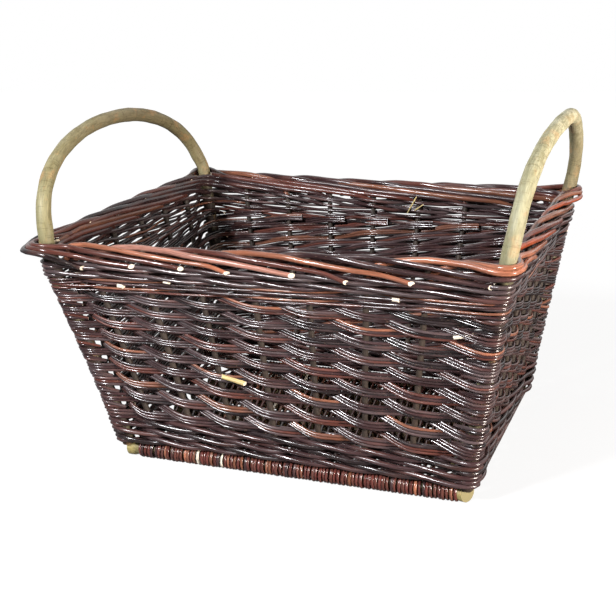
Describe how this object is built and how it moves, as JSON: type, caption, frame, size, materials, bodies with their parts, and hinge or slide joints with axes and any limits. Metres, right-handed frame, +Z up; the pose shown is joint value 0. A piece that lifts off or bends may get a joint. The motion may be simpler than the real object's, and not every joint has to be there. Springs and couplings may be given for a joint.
{
  "type": "firewood basket",
  "caption": "Rectangular flared willow basket for firewood, woven in and out of upright stakes, with a rolled border and a fixed rod bow as a carrying handle over each short end.",
  "frame": {"origin": "on the resting plane, under the middle of the base", "axes": "+X along the long side towards the right handle, +Y to the back wall, +Z up through the open top"},
  "size_m": [0.6334, 0.4618, 0.4399],
  "materials": {
    "handle_rod": "peeled rod, satin, with knots and bark flecks",
    "stake_rod": "dry bark, matt",
    "wall_willow": "dark willow bark, satin",
    "border_willow": "copper-brown willow bark, satin",
    "base_weave": "red-brown willow bark, satin",
    "base_stick": "rough stick with pale sawn ends"
  },
  "bodies": {
    "root": {"back_stake_1": "stake_rod", "back_stake_2": "stake_rod", "back_stake_3": "stake_rod", "back_stake_4": "stake_rod", "back_stake_5": "stake_rod", "back_stake_6": "stake_rod", "back_stake_7": "stake_rod", "base_edge_stick_back": "base_stick", "base_edge_stick_front": "base_stick", "base_stick_1": "base_stick", "base_stick_2": "base_stick", "base_stick_3": "base_stick", "base_stick_4": "base_stick", "base_weave": "base_weave", "border_inner": "border_willow", "border_outer_lower": "border_willow", "border_outer_upper": "border_willow", "border_top_back": "border_willow", "border_top_front": "border_willow", "border_top_left": "border_willow", "border_top_right": "border_willow", "front_stake_1": "stake_rod", "front_stake_2": "stake_rod", "front_stake_3": "stake_rod", "front_stake_4": "stake_rod", "front_stake_5": "stake_rod", "front_stake_6": "stake_rod", "front_stake_7": "stake_rod", "handle_left": "handle_rod", "handle_right": "handle_rod", "left_stake_1": "stake_rod", "left_stake_2": "stake_rod", "left_stake_3": "stake_rod", "left_stake_4": "stake_rod", "left_stake_5": "stake_rod", "rand_row_1": "wall_willow", "rand_row_2": "wall_willow", "right_stake_1": "stake_rod", "right_stake_2": "stake_rod", "right_stake_3": "stake_rod", "right_stake_4": "stake_rod", "right_stake_5": "stake_rod", "slew_row_01": "wall_willow", "slew_row_02": "wall_willow", "slew_row_03": "wall_willow", "slew_row_04": "wall_willow", "slew_row_05": "wall_willow", "slew_row_06": "wall_willow", "slew_row_07": "wall_willow", "slew_row_08": "wall_willow", "slew_row_09": "wall_willow", "slew_row_10": "wall_willow", "slew_row_11": "wall_willow", "slew_row_12": "wall_willow", "slew_row_13": "wall_willow", "slew_row_14": "wall_willow", "slew_row_15": "wall_willow", "wale_row_1": "wall_willow", "wale_row_2": "wall_willow"}
  },
  "joints": []
}
